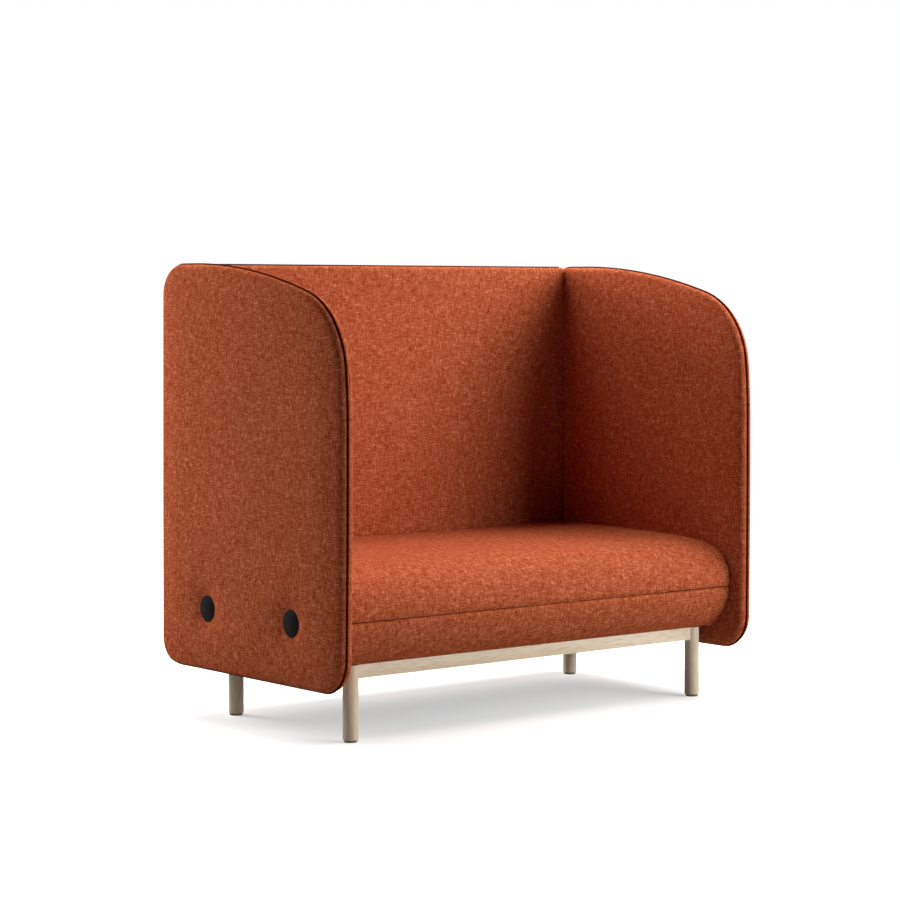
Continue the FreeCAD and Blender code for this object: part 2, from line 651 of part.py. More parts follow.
def leg_insert(x, y):
    bore = GLIDE_STUD_DIAMETER + 2 * SLIDE_CLEARANCE
    return tube("z", INSERT_DIAMETER, bore, (x, y, GLIDE_HEIGHT), INSERT_LENGTH)


def glide(x, y):
    """Foot disc with a rounded edge, on a stud that screws up into the leg."""
    disc = rod("z", GLIDE_DIAMETER, (x, y, 0), GLIDE_HEIGHT)
    edge = [e for e in disc.Edges if e.BoundBox.ZMax < 1e-3]
    disc = disc.makeFillet(GLIDE_EDGE, edge)
    stud = rod("z", GLIDE_STUD_DIAMETER, (x, y, GLIDE_HEIGHT), GLIDE_STUD_LENGTH)
    return disc.fuse(stud)


def long_bar(y, end, thickness, low, height):
    """Bar along X between the legs at one Y, with its ends at a distance from the leg axes."""
    return box(-LEG_X + end, LEG_X - end, y - thickness / 2, y + thickness / 2, low, low + height)


def cross_bar(x, end, thickness, low, height):
    """Bar along Y between the legs at one X, with its ends at a distance from the leg axes."""
    front, rear = LEG_FRONT_Y + end, LEG_REAR_Y - end
    return box(x - thickness / 2, x + thickness / 2, front, rear, low, low + height)


def tenons(margin):
    """Tongues of the four rails, each as one bar that reaches into both its legs."""
    end = TENON_FROM_AXIS - margin
    thickness = TENON_THICKNESS + 2 * margin
    low = RAIL_BOTTOM + (RAIL_HEIGHT - TENON_HEIGHT) / 2 - margin
    height = TENON_HEIGHT + 2 * margin
    long_bars = [long_bar(y, end, thickness, low, height) for y in (LEG_FRONT_Y, LEG_REAR_Y)]
    return long_bars + [cross_bar(x, end, thickness, low, height) for x in (-LEG_X, LEG_X)]


def leg_places():
    return {
        "front_left": (-LEG_X, LEG_FRONT_Y),
        "front_right": (LEG_X, LEG_FRONT_Y),
        "rear_left": (-LEG_X, LEG_REAR_Y),
        "rear_right": (LEG_X, LEG_REAR_Y),
    }


def rails():
    """Four rails whose shoulders are hollowed to fit round the legs."""
    hollows = group(
        [
            rod("z", LEG_DIAMETER + 2 * SLIDE_CLEARANCE, (x, y, 0), SEAT_BOTTOM)
            for x, y in leg_places().values()
        ]
    )
    section = (RAIL_THICKNESS, RAIL_BOTTOM, RAIL_HEIGHT)
    shoulders = [long_bar(y, 0.0, *section) for y in (LEG_FRONT_Y, LEG_REAR_Y)]
    shoulders += [cross_bar(x, 0.0, *section) for x in (-LEG_X, LEG_X)]
    made = []
    for bar, tongue in zip(shoulders, tenons(0.0)):
        rail = bar.cut(hollows).fuse(tongue).removeSplitter()
        made.append(rail.cut(base_screw_bores(BASE_SCREW_DIAMETER)).cut(base_screw_heads()))
    return dict(zip(("front_rail", "rear_rail", "left_rail", "right_rail"), made))


def base_screw_places():
    """Two screws to each rail, at one distance from the legs."""
    near_x = LEG_X - BASE_SCREW_FROM_LEG
    front, rear = LEG_FRONT_Y + BASE_SCREW_FROM_LEG, LEG_REAR_Y - BASE_SCREW_FROM_LEG
    on_long = [(x, y) for x in (-near_x, near_x) for y in (LEG_FRONT_Y, LEG_REAR_Y)]
    return on_long + [(x, y) for x in (-LEG_X, LEG_X) for y in (front, rear)]


def base_screw_bores(diameter):
    length = FRAME_BOTTOM + BASE_SCREW_BITE - RAIL_BOTTOM
    return group([rod("z", diameter, (x, y, RAIL_BOTTOM), length) for x, y in base_screw_places()])


def base_screw_heads():
    height = BASE_SCREW_HEAD_HEIGHT
    return group([rod("z", BASE_SCREW_HEAD, (x, y, RAIL_BOTTOM), height) for x, y in base_screw_places()])


def base_screws():
    length = FRAME_BOTTOM + BASE_SCREW_BITE - RAIL_BOTTOM
    screws = []
    for x, y in base_screw_places():
        head = rod("z", BASE_SCREW_HEAD, (x, y, RAIL_BOTTOM), BASE_SCREW_HEAD_HEIGHT)
        screws.append(head.fuse(rod("z", BASE_SCREW_DIAMETER, (x, y, RAIL_BOTTOM), length)).removeSplitter())
    return group(screws)


# All nodes


def both_sides(shapes):
    """Group of the right side's pieces and their mirror images on the left."""
    return group(shapes + [shape.mirror(ORIGIN, AXES["x"]) for shape in shapes])


def wing_nodes():
    nodes = {}
    pieces = wing_pieces()
    for place, y in zip(("front", "rear"), BUTTON_YS):
        pieces["button_" + place] = wing_button(y)
    for name, piece in pieces.items():
        right = piece.copy()
        right.translate(Vector(WING_MID_X, 0, 0))
        nodes["right_wing_" + name] = right
        nodes["left_wing_" + name] = right.mirror(ORIGIN, AXES["x"])
    nodes["wing_studs"] = both_sides([wing_stud(y) for y in BUTTON_YS])
    nodes["wing_spacers"] = both_sides([wing_spacer(y) for y in BUTTON_YS])
    nodes["wing_t_nuts"] = both_sides([wing_t_nut(y) for y in BUTTON_YS])
    return nodes


def back_nodes():
    nodes = {"back_" + name: piece for name, piece in back_pieces().items()}
    nodes["back_bolts"] = group([back_bolt(x) for x in BACK_BOLT_XS])
    nodes["back_washers"] = group([back_washer(x) for x in BACK_BOLT_XS])
    nodes["back_spacers"] = group([back_spacer(x) for x in BACK_BOLT_XS])
    nodes["back_t_nuts"] = group([back_t_nut(x) for x in BACK_BOLT_XS])
    nodes["corner_dowels"] = corner_dowels(DOWEL_DIAMETER)
    return nodes


def seat_nodes():
    nodes = {"seat_" + name: piece for name, piece in seat_frame().items()}
    nodes["seat_frame_screws"] = frame_screws(FRAME_SCREW_DIAMETER)
    nodes["seat_webbing"] = webbing_straps()
    nodes["seat_foam"] = seat_foam()
    nodes["seat_upper_cover"], nodes["seat_lower_cover"] = seat_covers()
    nodes["seat_dust_cover"] = dust_cover_space(CLEARANCE)
    return nodes


def base_nodes():
    nodes = rails()
    for name, (x, y) in leg_places().items():
        nodes["leg_" + name] = leg(x, y)
        nodes["glide_" + name] = glide(x, y)
    nodes["leg_inserts"] = group([leg_insert(x, y) for x, y in leg_places().values()])
    nodes["base_screws"] = base_screws()
    return nodes


os.makedirs("parts", exist_ok=True)
for node, shape in {**wing_nodes(), **back_nodes(), **seat_nodes(), **base_nodes()}.items():
    print(node, len(shape.Solids), shape.isValid(), round(shape.Volume))
    shape.exportStep("parts/" + node + ".step")
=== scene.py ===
import math

import bmesh
import bpy
import numpy as np
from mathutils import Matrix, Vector
from mathutils.geometry import delaunay_2d_cdt

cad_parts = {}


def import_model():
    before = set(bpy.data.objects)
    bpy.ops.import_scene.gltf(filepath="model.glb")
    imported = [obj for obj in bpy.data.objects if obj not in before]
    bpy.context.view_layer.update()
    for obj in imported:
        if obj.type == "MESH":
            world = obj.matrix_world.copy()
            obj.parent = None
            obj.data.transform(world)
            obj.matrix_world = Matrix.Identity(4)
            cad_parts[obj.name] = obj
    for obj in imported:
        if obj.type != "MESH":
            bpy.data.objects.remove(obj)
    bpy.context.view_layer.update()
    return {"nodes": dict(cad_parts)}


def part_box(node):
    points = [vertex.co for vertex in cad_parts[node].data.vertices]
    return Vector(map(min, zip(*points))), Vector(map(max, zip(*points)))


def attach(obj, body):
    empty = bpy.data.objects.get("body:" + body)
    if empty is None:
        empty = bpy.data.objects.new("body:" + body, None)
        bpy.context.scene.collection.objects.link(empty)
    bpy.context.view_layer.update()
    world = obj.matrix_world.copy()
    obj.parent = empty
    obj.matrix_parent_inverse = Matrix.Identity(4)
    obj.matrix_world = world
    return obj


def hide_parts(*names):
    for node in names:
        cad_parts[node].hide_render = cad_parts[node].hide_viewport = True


# High-back office sofa: woven covers over foam, black buttons, ash base. Metres, in the CAD model's frame.

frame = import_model()

# Sizes read from the CAD model
WING_LOW, WING_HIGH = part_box("right_wing_outer_cover")
WING_INNER_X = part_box("right_wing_inner_cover")[0].x
WING_MID_X = (WING_INNER_X + WING_HIGH.x) / 2
HALF_THICKNESS = (WING_HIGH.x - WING_INNER_X) / 2
HALF_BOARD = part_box("right_wing_board")[1].x - WING_MID_X
DEPTH = WING_HIGH.y - WING_LOW.y
TOP = WING_HIGH.z
BACK_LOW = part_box("back_front_cover")[0]
BACK_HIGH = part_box("back_rear_cover")[1]
BACK_MID_Y = (BACK_LOW.y + BACK_HIGH.y) / 2
SEAT_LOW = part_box("seat_lower_cover")[0]
SEAT_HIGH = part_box("seat_upper_cover")[1]
SEAM_UPPER_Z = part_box("seat_upper_cover")[0].z
SEAM_LOWER_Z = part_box("seat_lower_cover")[1].z
FRAME_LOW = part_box("seat_bottom_board")[0]
FRAME_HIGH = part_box("seat_webbing")[1]
DUST_LOW, DUST_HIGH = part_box("seat_dust_cover")
BUTTON_BOXES = [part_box("right_wing_button_front"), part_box("right_wing_button_rear")]
BUTTON_RADIUS = (BUTTON_BOXES[0][1].y - BUTTON_BOXES[0][0].y) / 2
BUTTON_PLACES = [((low.y + high.y) / 2, (low.z + high.z) / 2) for low, high in BUTTON_BOXES]

# Fits and mesh spacing
CLEARANCE = 0.0003
SPACING = 0.013
FACE_MARGIN = 0.6 * SPACING
MERGE_DISTANCE = 1e-7
LIP_STEPS = 2
EDGE_STEPS = 6
SHOULDER_STEPS = 4

# Outline of a wing, as arcs and the headings where they meet, in degrees below level
TOP_FLAT = 0.057
SHOULDER_RADIUS = 0.222
BROW_RADIUS = 1.580
TOP_HEADING = 16.1
BROW_HEADING = 84.7
FRONT_HEADING = 90.9
BOTTOM_HEADING = 179.7
FRONT_FOOT_RADIUS = 0.093
REAR_FOOT_RADIUS = 0.070
REAR_TOP_RADIUS = 0.085
WING_BOTTOM = 0.132

# Rim of a padded panel: a groove with rolled lips, a round edge, and a shoulder that eases into the face.
# The tape in the groove lies on the outline, and the two halves beside it end a little inside. The tape's
# dark colour is painted shade: the shade in the groove between the halves.
BOARD_INSET = 0.016
GROOVE_DEPTH = 0.008
HALF_GROOVE = 0.0030
HALF_TAPE = HALF_GROOVE - CLEARANCE
TAPE_PROUD = 0.0035
TAPE_STEPS = 8
BOARD_SHELF = BOARD_INSET - CLEARANCE - TAPE_PROUD
BACK_BOTTOM = BACK_LOW.z + TAPE_PROUD
BACK_TOP = BACK_HIGH.z - TAPE_PROUD
LIP_RADIUS = 0.0015
EDGE_RADIUS = 0.015
OUTER_EDGE_HEIGHT = 0.0187
INNER_EDGE_HEIGHT = 0.0212
EDGE_TURN = math.radians(72.0)
EDGE_INSET = EDGE_RADIUS * (1 - math.cos(EDGE_TURN))
SHOULDER_STEP = 0.005
OUTER_FULLNESS = 0.004
INNER_FULLNESS = -0.0005

# Cloth under air pressure: how long and how hard it is blown up and how far it may swell
CLOTH_STEPS = 20
PANEL_PRESSURE = 3.0
PANEL_SWELL = 0.002
CUSHION_PRESSURE = 4.0
CUSHION_SWELL = 0.006
UNDERSIDE_SWELL = 0.003
UNEVENNESS = 0.0004

# Cover near a button
DIMPLE_DEPTH = 0.0095
DIMPLE_REACH = 0.020
DIMPLE_EDGE = 0.002
RING_OFFSETS = (-0.008, 0.001, 0.006, 0.013, 0.022)
RING_COUNT = 40
RING_ROOM = 0.028

# Ends of the back, against the wings
BACK_END_HOLD = 0.020
BACK_END_RADIUS = 0.005

# Seat outline, seen from its end
CROWN_SET_BACK = 0.164
CROWN_HEADING = 1.9
NOSE_HEADING = 12.1
NOSE_TOP_RADIUS = 0.714
NOSE_RADIUS = 0.0885
NOSE_FLAT = 0.012
CHIN_HEADING = 143.0
KEEL_RADIUS = 0.017
SEAT_REAR_RADIUS = 0.017
SEAT_END_RADIUS = 0.009
SEAM_DEPTH = 0.004
SEAM_ROLL = 0.006
SEAM_PUCKER = 0.0007
PUCKER_FINE = 97.0
PUCKER_COARSE = 41.0
SEAM_SHARES = (0.15, 0.35, 0.65)
END_STEPS = 5
HELD_WIDTH = 0.006
EASE_WIDTH = 0.030
BOTTOM_HOLD = 0.004

# Fabric
YARN_PITCH = 0.0026
STREAK_LENGTH = 0.020
YARN_STEP = 3.71
WEFT_APART = 7.0
FIBRE_SCALE = 300.0
FIBRE_SHARE = 0.25

# Light
AMBIENT = 0.02
FLOOR_SIZE = 60.0
FLOOR_SHOWN = (235, 235, 235)
FLOOR_BOUNCE = (160, 160, 160)
FLOOR_GLOW = 0.42
GLOW_START = 1.2
GLOW_END = 4.0
AIM = (0.0, 0.0, 0.5)

# Camera, solved from the photo
CAMERA_PLACE = (-4.2766, -5.3831, 1.1173)
CAMERA_TURN = -0.66675
LENS = 101.03
SENSOR_WIDTH = 36.0
LENS_SHIFT = -0.1745
CAMERA_REACH = 100.0


# Outlines


def turn(radius, start, end):
    """How far an arc that turns from one heading to another moves along Y and Z."""
    a, b = math.radians(start), math.radians(end)
    return -radius * (math.sin(b) - math.sin(a)), radius * (math.cos(b) - math.cos(a))


def walk(start, steps, heading=0.0):
    """Points along a chain of (length, None) runs and (radius, heading) arcs, as rows of Y, Z and heading."""
    y, z = start
    rows = []
    for size, end in steps:
        angle = math.radians(heading)
        if end is None:
            count = max(1, round(size / SPACING))
            move = (-size * math.cos(angle), -size * math.sin(angle))
            for i in range(count):
                rows.append((y + move[0] * i / count, z + move[1] * i / count, heading))
        else:
            count = max(3, round(size * math.radians(end - heading) / SPACING))
            for i in range(count):
                here = heading + (end - heading) * i / count
                part = turn(size, heading, here)
                rows.append((y + part[0], z + part[1], here))
            move = turn(size, heading, end)
            heading = end
        y += move[0]
        z += move[1]
    rows.append((y, z, heading))
    return rows


def outward(heading):
    angle = math.radians(heading)
    return -math.sin(angle), math.cos(angle)


def wing_rows():
    """The wing's outline, closed: the last point of the chain is the first again, so it is left out."""
    shoulder = turn(SHOULDER_RADIUS, TOP_HEADING, BROW_HEADING)
    brow = turn(BROW_RADIUS, BROW_HEADING, 90.0)
    reach = DEPTH - REAR_TOP_RADIUS - TOP_FLAT + shoulder[0] + brow[0]
    top_radius = reach / math.sin(math.radians(TOP_HEADING))
    front_z = TOP + turn(top_radius, 0.0, TOP_HEADING)[1] + shoulder[1] + brow[1]
    front_foot = turn(FRONT_FOOT_RADIUS, FRONT_HEADING, BOTTOM_HEADING)
    front_drop = front_z + front_foot[1] - WING_BOTTOM
    front_radius = front_drop / -math.cos(math.radians(FRONT_HEADING))
    foot_y = WING_LOW.y + turn(front_radius, 90.0, FRONT_HEADING)[0] + front_foot[0]
    rear_foot = turn(REAR_FOOT_RADIUS, BOTTOM_HEADING, 270.0)
    bottom_run = (WING_HIGH.y - rear_foot[0] - foot_y) / -math.cos(math.radians(BOTTOM_HEADING))
    rear_z = WING_BOTTOM - bottom_run * math.sin(math.radians(BOTTOM_HEADING)) + rear_foot[1]
    steps = [
        (TOP_FLAT, None),
        (top_radius, TOP_HEADING),
        (SHOULDER_RADIUS, BROW_HEADING),
        (BROW_RADIUS, 90.0),
        (front_radius, FRONT_HEADING),
        (FRONT_FOOT_RADIUS, BOTTOM_HEADING),
        (bottom_run, None),
        (REAR_FOOT_RADIUS, 270.0),
        (TOP - REAR_TOP_RADIUS - rear_z, None),
        (REAR_TOP_RADIUS, 360.0),
    ]
    return walk((WING_HIGH.y - REAR_TOP_RADIUS, TOP), steps)[:-1]


def moved_in(row, inset):
    """Y and Z of an outline's point moved inward."""
    y, z, heading = row
    n = outward(heading)
    return y - n[0] * inset, z - n[1] * inset


def panel_edge():
    """The outline of a wing's halves: the tape between them stands proud of it."""
    return [(*moved_in(row, TAPE_PROUD), row[2]) for row in wing_rows()]


def edge_height(fullness):
    """Height over the middle plane where a panel's round edge ends: the outer halves are softer there."""
    return OUTER_EDGE_HEIGHT if fullness > 0 else INNER_EDGE_HEIGHT


def panel_height(inset, fullness):
    """Height of a panel's face over its middle plane, steep by the round edge and level further in."""
    edge = edge_height(fullness)
    rise = HALF_THICKNESS + fullness - edge
    slope = 1 / math.tan(EDGE_TURN)
    return edge + rise * (1 - math.exp(-(inset - EDGE_INSET) * slope / rise))


def rim_rows(fullness):
    """Section of a panel's rim from the groove to the face, as inset from the edge and height."""
    rows = [(GROOVE_DEPTH, HALF_GROOVE), (2 * LIP_RADIUS, HALF_GROOVE)]
    for i in range(LIP_STEPS + 1):
        angle = math.pi / 2 * i / LIP_STEPS
        rows.append((LIP_RADIUS * (1 - math.sin(angle)), HALF_GROOVE + LIP_RADIUS * (1 - math.cos(angle))))
    edge_low = edge_height(fullness) - EDGE_RADIUS * math.sin(EDGE_TURN)
    for i in range(EDGE_STEPS + 1):
        angle = EDGE_TURN * i / EDGE_STEPS
        rows.append((EDGE_RADIUS * (1 - math.cos(angle)), edge_low + EDGE_RADIUS * math.sin(angle)))
    for i in range(1, SHOULDER_STEPS + 1):
        inset = EDGE_INSET + SHOULDER_STEP * i
        rows.append((inset, panel_height(inset, fullness)))
    return rows


RIM_INSET = EDGE_INSET + SHOULDER_STEP * SHOULDER_STEPS
RIM_COUNT = len(rim_rows(0.0))


def rim_free(row):
    """How freely a row of the rim moves in the cloth simulation: only its last rows do."""
    return smooth((row - RIM_COUNT + SHOULDER_STEPS) / SHOULDER_STEPS)


def tape_section():
    """Section of the tape in a groove, dark with painted groove shade, as inset from the outline and height.
    """
    foot = BOARD_INSET - CLEARANCE
    section = [(foot, -HALF_TAPE)]
    for i in range(TAPE_STEPS + 1):
        angle = math.pi * (i / TAPE_STEPS - 0.5)
        section.append((HALF_TAPE * (1 - math.cos(angle)), HALF_TAPE * math.sin(angle)))
    section.append((foot, HALF_TAPE))
    return section


# Meshes


class Builder:
    """Collects points with their cloth coordinates and faces, and makes a mesh object of them."""

    def __init__(self):
        self.points = []
        self.cloth = []
        self.free = []
        self.faces = []

    def add(self, point, cloth=(0.0, 0.0), free=0.0):
        self.points.append(point)
        self.cloth.append(cloth)
        self.free.append(free)
        return len(self.points) - 1

    def strip(self, first, second, closed=True):
        """Quads between two rows of as many points."""
        count = len(first)
        for i in range(count if closed else count - 1):
            j = (i + 1) % count
            self.faces.append((first[i], first[j], second[j], second[i]))

    def skin(self, rows, closed=True):
        """Quads from each row of points to the next."""
        for first, second in zip(rows, rows[1:]):
            self.strip(first, second, closed)

    def fill(self, outer, inner=()):
        """Triangles in a flat region between an outer loop and holes."""
        loops = [list(outer)] + [list(loop) for loop in inner]
        index = [i for loop in loops for i in loop]
        places = np.array([self.points[i] for i in index])
        axes = np.argsort(np.ptp(places, axis=0))[1:]
        flat = [Vector((places[k][axes[0]], places[k][axes[1]])) for k in range(len(index))]
        edges = []
        start = 0
        for loop in loops:
            edges += [(start + k, start + (k + 1) % len(loop)) for k in range(len(loop))]
            start += len(loop)
        result = delaunay_2d_cdt(flat, edges, [], 2 if inner else 1, MERGE_DISTANCE)
        for face in result[2]:
            self.faces.append([index[result[3][k][0]] for k in face])

    def finish(self, name):
        mesh = bpy.data.meshes.new(name)
        mesh.from_pydata(self.points, [], self.faces)
        work = bmesh.new()
        work.from_mesh(mesh)
        bmesh.ops.recalc_face_normals(work, faces=work.faces)
        work.to_mesh(mesh)
        work.free()
        layer = mesh.uv_layers.new(name="Weave")
        for corner in mesh.loops:
            layer.data[corner.index].uv = self.cloth[corner.vertex_index]
        mesh.shade_smooth()
        piece = bpy.data.objects.new(name, mesh)
        bpy.context.scene.collection.objects.link(piece)
        hold = piece.vertex_groups.new(name="hold")
        for i, free in enumerate(self.free):
            hold.add([i], 1.0 - free, "REPLACE")
        return piece


def smooth(t):
    t = min(max(t, 0.0), 1.0)
    return t * t * (3 - 2 * t)


def unevenness(a, b, seed):
    """Small low waves of the foam under a cover, of odd lengths so that they don't repeat."""
    waves = math.sin(7.1 * a + 2.3 * seed) * math.sin(5.3 * b + 1.7 * seed)
    waves += 0.6 * math.sin(13.7 * a - 9.1 * b + seed) + 0.4 * math.sin(19.0 * b + 11.0 * a + 3 * seed)
    return UNEVENNESS * waves


# Cloth


def inflate(piece, pressure, limit):
    """Lets air pressure swell the cover between the points that hold it, by no more than limit."""
    rest = np.array([vertex.co for vertex in piece.data.vertices])
    cloth = piece.modifiers.new("Cloth", "CLOTH")
    settings = cloth.settings
    settings.quality = 5
    settings.mass = 0.3
    settings.tension_stiffness = 40
    settings.compression_stiffness = 40
    settings.shear_stiffness = 20
    settings.bending_stiffness = 2
    settings.use_pressure = True
    settings.uniform_pressure_force = pressure
    settings.effector_weights.gravity = 0
    settings.vertex_group_mass = "hold"
    scene = bpy.context.scene
    for step in range(1, CLOTH_STEPS + 1):
        scene.frame_set(step)
    result = piece.evaluated_get(bpy.context.evaluated_depsgraph_get()).data
    moved = np.array([vertex.co for vertex in result.vertices]) - rest
    length = np.linalg.norm(moved, axis=1)
    print(piece.name, "cloth moved", round(float(length.max()) * 1000, 2), "mm")
    scale = limit * np.tanh(length / limit) / np.maximum(length, 1e-9)
    piece.modifiers.remove(cloth)
    scene.frame_set(1)
    piece.data.vertices.foreach_set("co", (rest + moved * scale[:, None]).ravel())
    piece.data.update()


# Pieces in place of CAD solids


def finish_tape(piece, material, node):
    """Puts a tape in place of its CAD solid."""
    piece.data.materials.append(material)
    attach(piece, "sofa")
    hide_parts(node)


def finish_soft(piece, material, covers):
    """Puts a padded piece in place of its CAD solids."""
    swell = piece.modifiers.new("Smooth", "SUBSURF")
    swell.levels = 1
    swell.render_levels = 1
    piece.data.materials.append(material)
    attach(piece, "sofa")
    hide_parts(*covers)


# Wings


def dimple(a, b):
    """How far the cover is drawn down near a button."""
    depth = 0.0
    for place in BUTTON_PLACES:
        away = max(0.0, math.dist((a, b), place) - BUTTON_RADIUS - DIMPLE_EDGE)
        depth = max(depth, DIMPLE_DEPTH * math.exp(-away / DIMPLE_REACH))
    return depth


def button_rings():
    """Points round each button, closer together than the rest of the face."""
    rings = []
    for a, b in BUTTON_PLACES:
        for offset in RING_OFFSETS:
            radius = BUTTON_RADIUS + offset
            for i in range(RING_COUNT):
                angle = 2 * math.pi * i / RING_COUNT
                rings.append((a + radius * math.cos(angle), b + radius * math.sin(angle)))
    return rings


def face_points(rows, buttons):
    """Grid points of a face that lie inside its rim, and their distances to the panel's edge."""
    edge = np.array([row[:2] for row in rows])
    low, high = edge.min(axis=0), edge.max(axis=0)
    counts = np.round((high - low) / SPACING).astype(int)
    grid_a = np.linspace(low[0], high[0], counts[0])
    grid_b = np.linspace(low[1], high[1], counts[1])
    grid = [(a, b) for a in grid_a for b in grid_b]
    rings = button_rings() if buttons else []
    if buttons:
        room = BUTTON_RADIUS + RING_ROOM
        grid = [p for p in grid if min(math.dist(p, place) for place in BUTTON_PLACES) > room]
        grid += BUTTON_PLACES
    inside = np.array(grid + rings)
    normals = np.array([outward(row[2]) for row in rows])
    toward = inside[:, None, :] - edge[None, :, :]
    depth = -(toward * normals[None, :, :]).sum(axis=2)
    distance = depth.min(axis=1)
    keep = distance > RIM_INSET + FACE_MARGIN
    return inside[keep], distance[keep]


def wing_half(name, side, way, fullness, seed):
    """One padded half of a wing: side is -1 for the left wing, way is 1 for a half that faces right."""
    build = Builder()
    rows = panel_edge()
    rim = rim_rows(fullness)
    buttons = side == way
    mid = side * WING_MID_X

    def place(a, b, height):
        return (mid + way * height, a, b)

    reach = [0.0]
    for (d0, h0), (d1, h1) in zip(rim[::-1], rim[-2::-1]):
        reach.append(reach[-1] + math.hypot(d1 - d0, h1 - h0))
    reach = reach[::-1]
    loops = []
    for k, (inset, height) in enumerate(rim):
        loop = []
        for row in rows:
            cloth = moved_in(row, RIM_INSET - reach[k])
            loop.append(build.add(place(*moved_in(row, inset), height), cloth, rim_free(k)))
        loops.append(loop)
    build.skin(loops)
    inner, distance = face_points(rows, buttons)
    plane = [Vector(build.points[i][1:]) for i in loops[-1]] + [Vector(p) for p in inner]
    count = len(rows)
    ring = [(i, (i + 1) % count) for i in range(count)]
    face = delaunay_2d_cdt(plane, ring, [], 1, MERGE_DISTANCE)
    index = list(loops[-1])
    for (a, b), inset in zip(inner, distance):
        drawn = dimple(a, b) if buttons else 0.0
        free = 1.0 - smooth(2 * drawn / DIMPLE_DEPTH)
        height = panel_height(inset, fullness) + unevenness(a, b, seed) - drawn
        index.append(build.add(place(a, b, height), (a, b), free))
    for corners in face[2]:
        build.faces.append([index[face[3][k][0]] for k in corners])
    board_loops = [loops[0]]
    for height in (HALF_GROOVE, HALF_BOARD + CLEARANCE):
        points = [place(*moved_in(row, BOARD_SHELF), height) for row in rows]
        board_loops.append([build.add(point) for point in points])
    build.skin(board_loops)
    build.fill(board_loops[-1])
    piece = build.finish(name)
    join_triangles(piece)
    inflate(piece, PANEL_PRESSURE, PANEL_SWELL)
    return piece


def wing_tape(name, side):
    """The tape all round a wing."""
    build = Builder()
    loops = []
    for inset, height in tape_section():
        points = [(side * WING_MID_X + height, *moved_in(row, inset)) for row in wing_rows()]
        loops.append([build.add(point) for point in points])
    build.skin(loops + loops[:1])
    return build.finish(name)


def join_triangles(piece):
    """Turns pairs of triangles on the face into quads."""
    work = bmesh.new()
    work.from_mesh(piece.data)
    triangles = [face for face in work.faces if len(face.verts) == 3]
    bmesh.ops.join_triangles(
        work, faces=triangles, angle_face_threshold=0.6, angle_shape_threshold=0.7, cmp_uvs=False
    )
    work.to_mesh(piece.data)
    work.free()


# Back


def back_section(fullness):
    """Section of a back half as height, Z and the cloth's freedom; the face's heights are left open."""
    rim = rim_rows(fullness)
    rows = []
    for k, (inset, height) in enumerate(rim):
        rows.append((height, BACK_TOP - inset, rim_free(k)))
    start, end = BACK_TOP - RIM_INSET, BACK_BOTTOM + RIM_INSET
    count = round((start - end) / SPACING)
    for i in range(1, count):
        z = start + (end - start) * i / count
        rows.append((None, z, 1.0))
    for k, (inset, height) in reversed(list(enumerate(rim))):
        rows.append((height, BACK_BOTTOM + inset, rim_free(k)))
    return rows


def back_half(name, way, fullness, seed):
    """One padded half of the back: way is -1 for the half that faces forward."""
    build = Builder()
    section = back_section(fullness)
    half = BACK_HIGH.x
    radius = BACK_END_RADIUS
    ends = [radius * (1 - math.cos(math.pi / 2 * i / END_STEPS)) for i in range(END_STEPS + 1)]
    count = round(2 * (half - radius) / SPACING)
    middle = [-half + radius + 2 * (half - radius) * i / count for i in range(1, count)]
    columns = [-half + e for e in ends] + middle + [half - e for e in reversed(ends)]
    inner = [
        (HALF_GROOVE, BACK_BOTTOM + BOARD_SHELF),
        (HALF_BOARD + CLEARANCE, BACK_BOTTOM + BOARD_SHELF),
        (HALF_BOARD + CLEARANCE, BACK_TOP - BOARD_SHELF),
        (HALF_GROOVE, BACK_TOP - BOARD_SHELF),
    ]
    loops = []
    for x in columns:
        away = half - abs(x)
        cap = math.inf
        if away < radius:
            cap = HALF_THICKNESS + fullness - radius + math.sqrt(radius**2 - (radius - away) ** 2)
        length = 0.0
        last = None
        loop = []
        for height, z, free in section:
            if height is None:
                inset = min(BACK_TOP - z, z - BACK_BOTTOM)
                height = panel_height(inset, fullness) + unevenness(x, z, seed)
            if last:
                length += math.dist(last, (height, z))
            last = (height, z)
            height = min(height, cap)
            point = (x, BACK_MID_Y + way * height, z)
            loop.append(build.add(point, (x, -length), free * smooth(away / BACK_END_HOLD)))
        for height, z in inner:
            loop.append(build.add((x, BACK_MID_Y + way * height, z)))
        loops.append(loop)
    build.skin(loops)
    build.faces += [loops[0], loops[-1]]
    piece = build.finish(name)
    inflate(piece, PANEL_PRESSURE, PANEL_SWELL)
    return piece


def back_tapes(name):
    """The tapes along the back's upper and lower edge."""
    build = Builder()
    half = BACK_HIGH.x - BACK_END_RADIUS
    for edge, way in ((BACK_HIGH.z, -1), (BACK_LOW.z, 1)):
        ends = []
        for x in (-half, half):
            points = [(x, BACK_MID_Y + height, edge + way * inset) for inset, height in tape_section()]
            ends.append([build.add(point) for point in points])
        build.strip(*ends)
        build.faces += ends
    return build.finish(name)


# Seat


